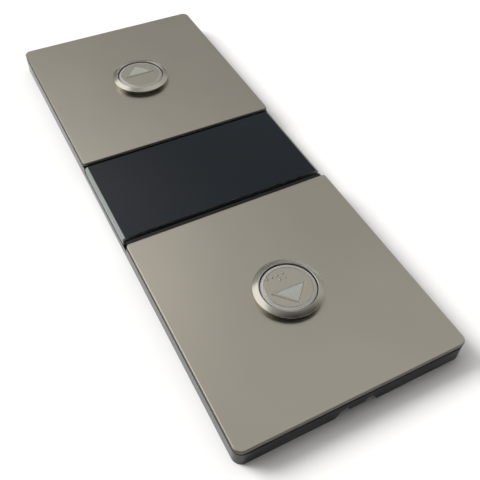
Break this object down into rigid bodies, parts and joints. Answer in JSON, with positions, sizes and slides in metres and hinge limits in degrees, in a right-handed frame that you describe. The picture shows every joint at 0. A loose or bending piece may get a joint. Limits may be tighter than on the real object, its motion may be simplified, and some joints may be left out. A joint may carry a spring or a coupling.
{
  "type": "elevator call button panel",
  "caption": "Wall-mounted lift landing call panel: satin steel faceplates with round sprung up and down push buttons above and below a glossy black strip, on a shallow black casing.",
  "frame": {"origin": "centre of the back, on the wall", "axes": "+X across the panel, +Y up the wall, +Z out of the face; the panel lies on its back"},
  "size_m": [0.104, 0.274, 0.0138],
  "materials": {
    "casing_plastic": "satin moulded ABS",
    "faceplate_steel": "satin stainless",
    "strip_gloss": "polished acrylic",
    "bezel_steel": "turned stainless, bright",
    "pressel_steel": "satin stainless",
    "light_resin": "translucent polycarbonate",
    "lens_resin": "translucent polycarbonate",
    "zinc_sheet": "zinc plated",
    "board_laminate": "solder mask on glass laminate",
    "black_part": "moulded epoxy",
    "ivory_nylon": "moulded nylon",
    "tinned_pin": "tin plated",
    "nut_brass": "turned brass",
    "spring_wire": "drawn spring steel",
    "lamp_resin": "moulded lamp"
  },
  "bodies": {
    "panel": {"casing": "casing_plastic", "upper_faceplate": "faceplate_steel", "lower_faceplate": "faceplate_steel", "faceplate_push_nuts": "spring_wire", "centre_strip": "strip_gloss", "wall_plate": "zinc_sheet", "circuit_board": "board_laminate", "board_screws": "zinc_sheet", "controller_chip": "black_part", "board_components": "black_part", "cable_headers": "ivory_nylon", "header_pins": "tinned_pin", "up_bezel": "bezel_steel", "up_bezel_washer": "zinc_sheet", "up_bezel_nut": "nut_brass", "up_switch": "black_part", "up_lamps": "lamp_resin", "up_return_spring": "spring_wire", "down_bezel": "bezel_steel", "down_bezel_washer": "zinc_sheet", "down_bezel_nut": "nut_brass", "down_switch": "black_part", "down_lamps": "lamp_resin", "down_return_spring": "spring_wire"},
    "up_button": {"up_light_core": "light_resin", "up_pressel_disc": "pressel_steel", "up_arrow_lens": "lens_resin", "up_plunger": "ivory_nylon"},
    "down_button": {"down_light_core": "light_resin", "down_pressel_disc": "pressel_steel", "down_arrow_lens": "lens_resin", "down_plunger": "ivory_nylon"}
  },
  "joints": [
    {"name": "up_press", "type": "slide", "parent": "panel", "child": "up_button", "axis": [0, 0, -1], "range_m": [0, 0.0008], "stiffness_N_per_m": 2500, "springref_m": -0.0006, "deforming": ["up_return_spring"]},
    {"name": "down_press", "type": "slide", "parent": "panel", "child": "down_button", "axis": [0, 0, -1], "range_m": [0, 0.0008], "stiffness_N_per_m": 2500, "springref_m": -0.0006, "deforming": ["down_return_spring"]}
  ]
}
